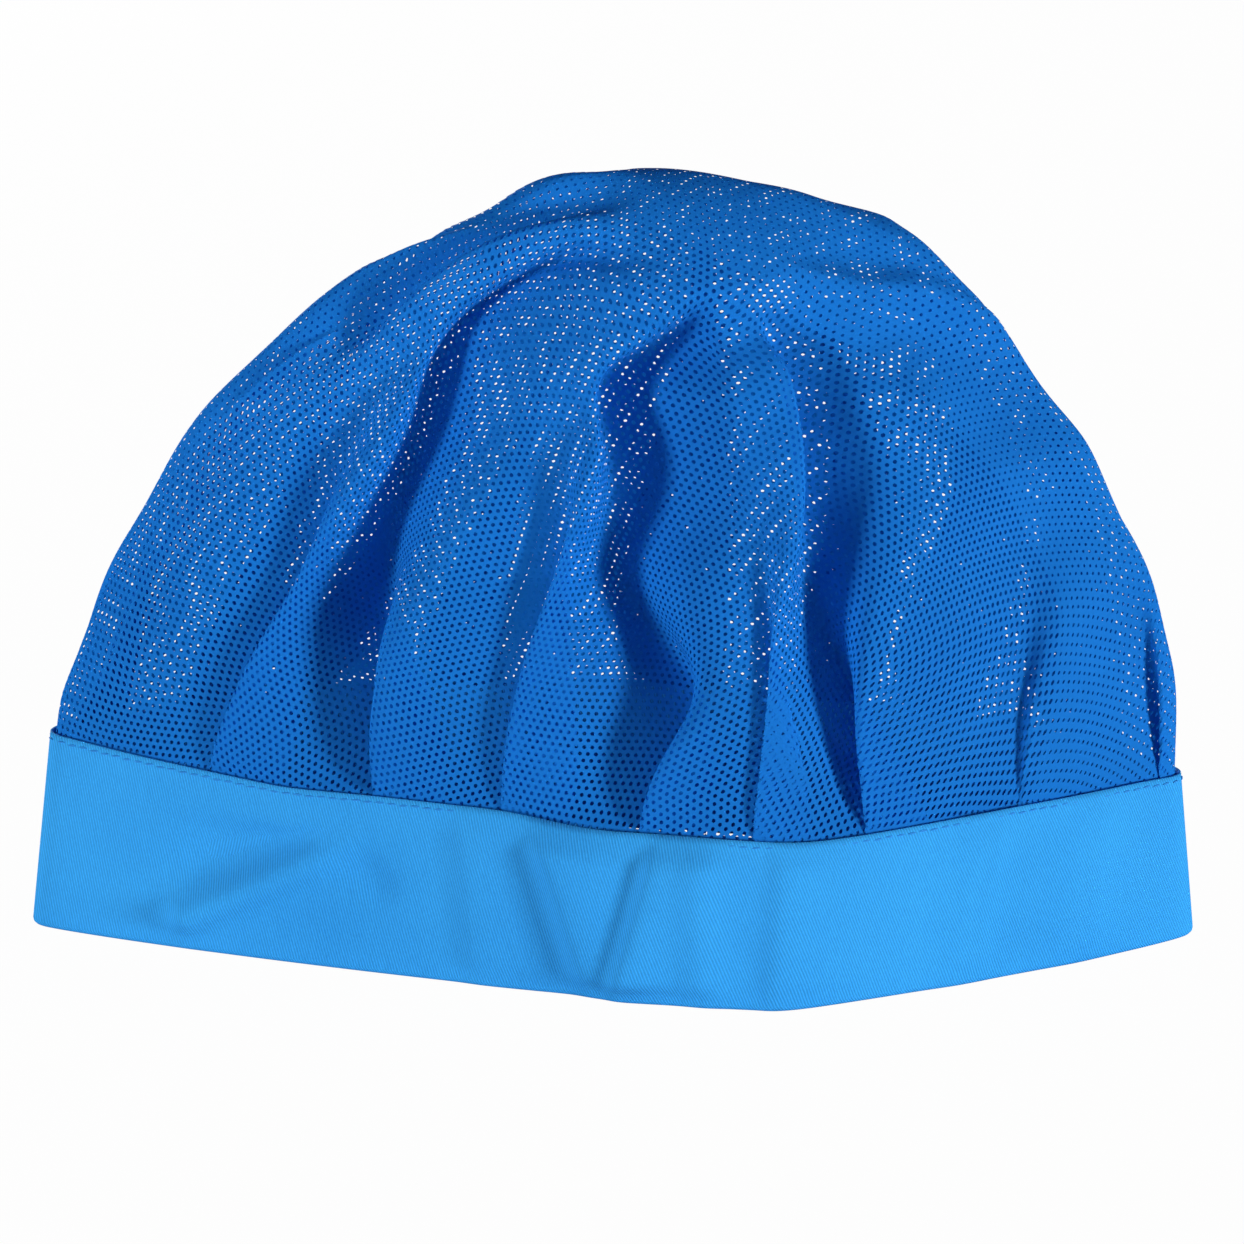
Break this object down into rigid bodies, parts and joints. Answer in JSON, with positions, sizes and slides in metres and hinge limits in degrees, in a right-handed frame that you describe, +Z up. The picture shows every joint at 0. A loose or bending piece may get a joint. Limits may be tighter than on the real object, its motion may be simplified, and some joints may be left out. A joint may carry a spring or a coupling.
{
  "type": "mesh work cap",
  "caption": "Soft blue cap: a dome of knitted net in knife pleats, sewn into a folded twill band with elastic at the rear. It keeps hair covered and lets air through.",
  "frame": {"origin": "middle of the cap's outline, on the surface that the band's folded lower edge stands on", "axes": "+Z up through the crown, -Y to the front of the cap, +X to the right as seen in the picture"},
  "size_m": [0.2507, 0.1118, 0.1683],
  "materials": {
    "net": "knitted polyester net with round holes, matt blue",
    "twill": "plain cotton twill, matt light blue",
    "elastic": "white woven elastic, hidden in the band",
    "thread": "blue sewing thread"
  },
  "bodies": {
    "root": {"crown_mesh": "net", "band_strip": "twill", "rear_elastic": "elastic", "topstitch_thread": "thread", "elastic_tack_left": "thread", "elastic_tack_right": "thread"}
  },
  "joints": []
}
